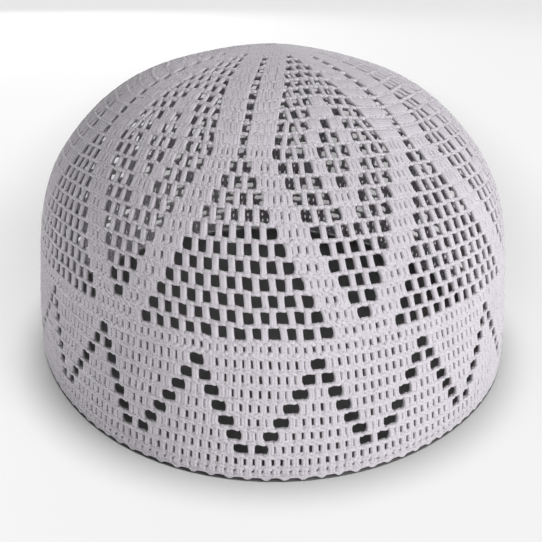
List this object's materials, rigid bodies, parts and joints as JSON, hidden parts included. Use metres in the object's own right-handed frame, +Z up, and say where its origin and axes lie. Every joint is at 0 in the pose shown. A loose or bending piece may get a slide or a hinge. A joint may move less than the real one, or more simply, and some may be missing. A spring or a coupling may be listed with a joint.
{
  "type": "kufi",
  "caption": "Round white cotton kufi, crocheted from the crown out, with openwork triangles, diamonds and a zigzag band above a small scalloped rim",
  "frame": {"origin": "middle of the hat's plan, on the plane the scalloped rim rests on", "axes": "+Z up through the middle of the crown; -Y is the front, the side the picture shows; +X is to the right as seen from the front; the long way of the oval runs along Y"},
  "size_m": [0.173, 0.1948, 0.1022],
  "materials": {
    "cotton_crown": "matte crocheted cotton",
    "cotton_band": "matte crocheted cotton",
    "cotton_edging": "matte crocheted cotton"
  },
  "bodies": {
    "root": {"crown": "cotton_crown", "side_band": "cotton_band", "edging": "cotton_edging"}
  },
  "joints": []
}
